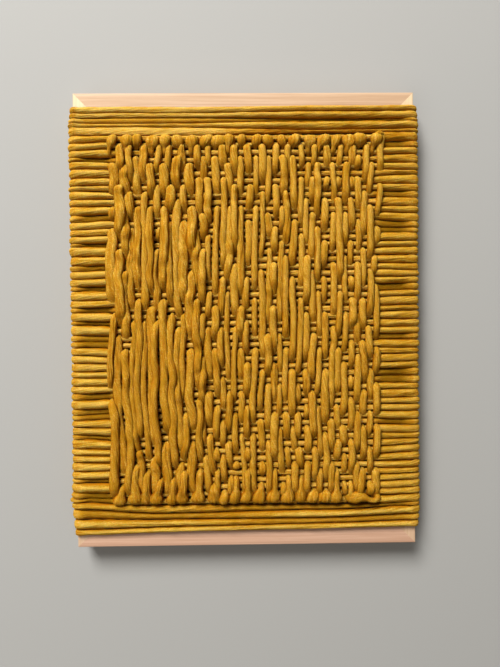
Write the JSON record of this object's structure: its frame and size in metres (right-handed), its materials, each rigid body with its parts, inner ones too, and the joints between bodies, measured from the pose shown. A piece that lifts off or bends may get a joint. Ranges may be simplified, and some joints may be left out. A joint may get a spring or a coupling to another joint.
{
  "type": "woven wall hanging on wooden stretcher frame",
  "caption": "Thick cotton cord wound round a mitred wooden stretcher frame and darned with long upright floats, to hang on a wall.",
  "frame": {"origin": "under the middle of the hanging, on the plane that its back lies on", "axes": "+X across the hanging to the right as its face is seen, +Y up the hanging towards its top edge, +Z out of its woven face"},
  "size_m": [0.3142, 0.4064, 0.0345],
  "materials": {
    "pale_wood": "bare, planed smooth",
    "cotton_cord": "matte, mustard yellow, softly twisted"
  },
  "bodies": {
    "root": {"bar_top": "pale_wood", "bar_bottom": "pale_wood", "bar_left": "pale_wood", "bar_right": "pale_wood", "warp": "cotton_cord", "weft": "cotton_cord"}
  },
  "joints": []
}
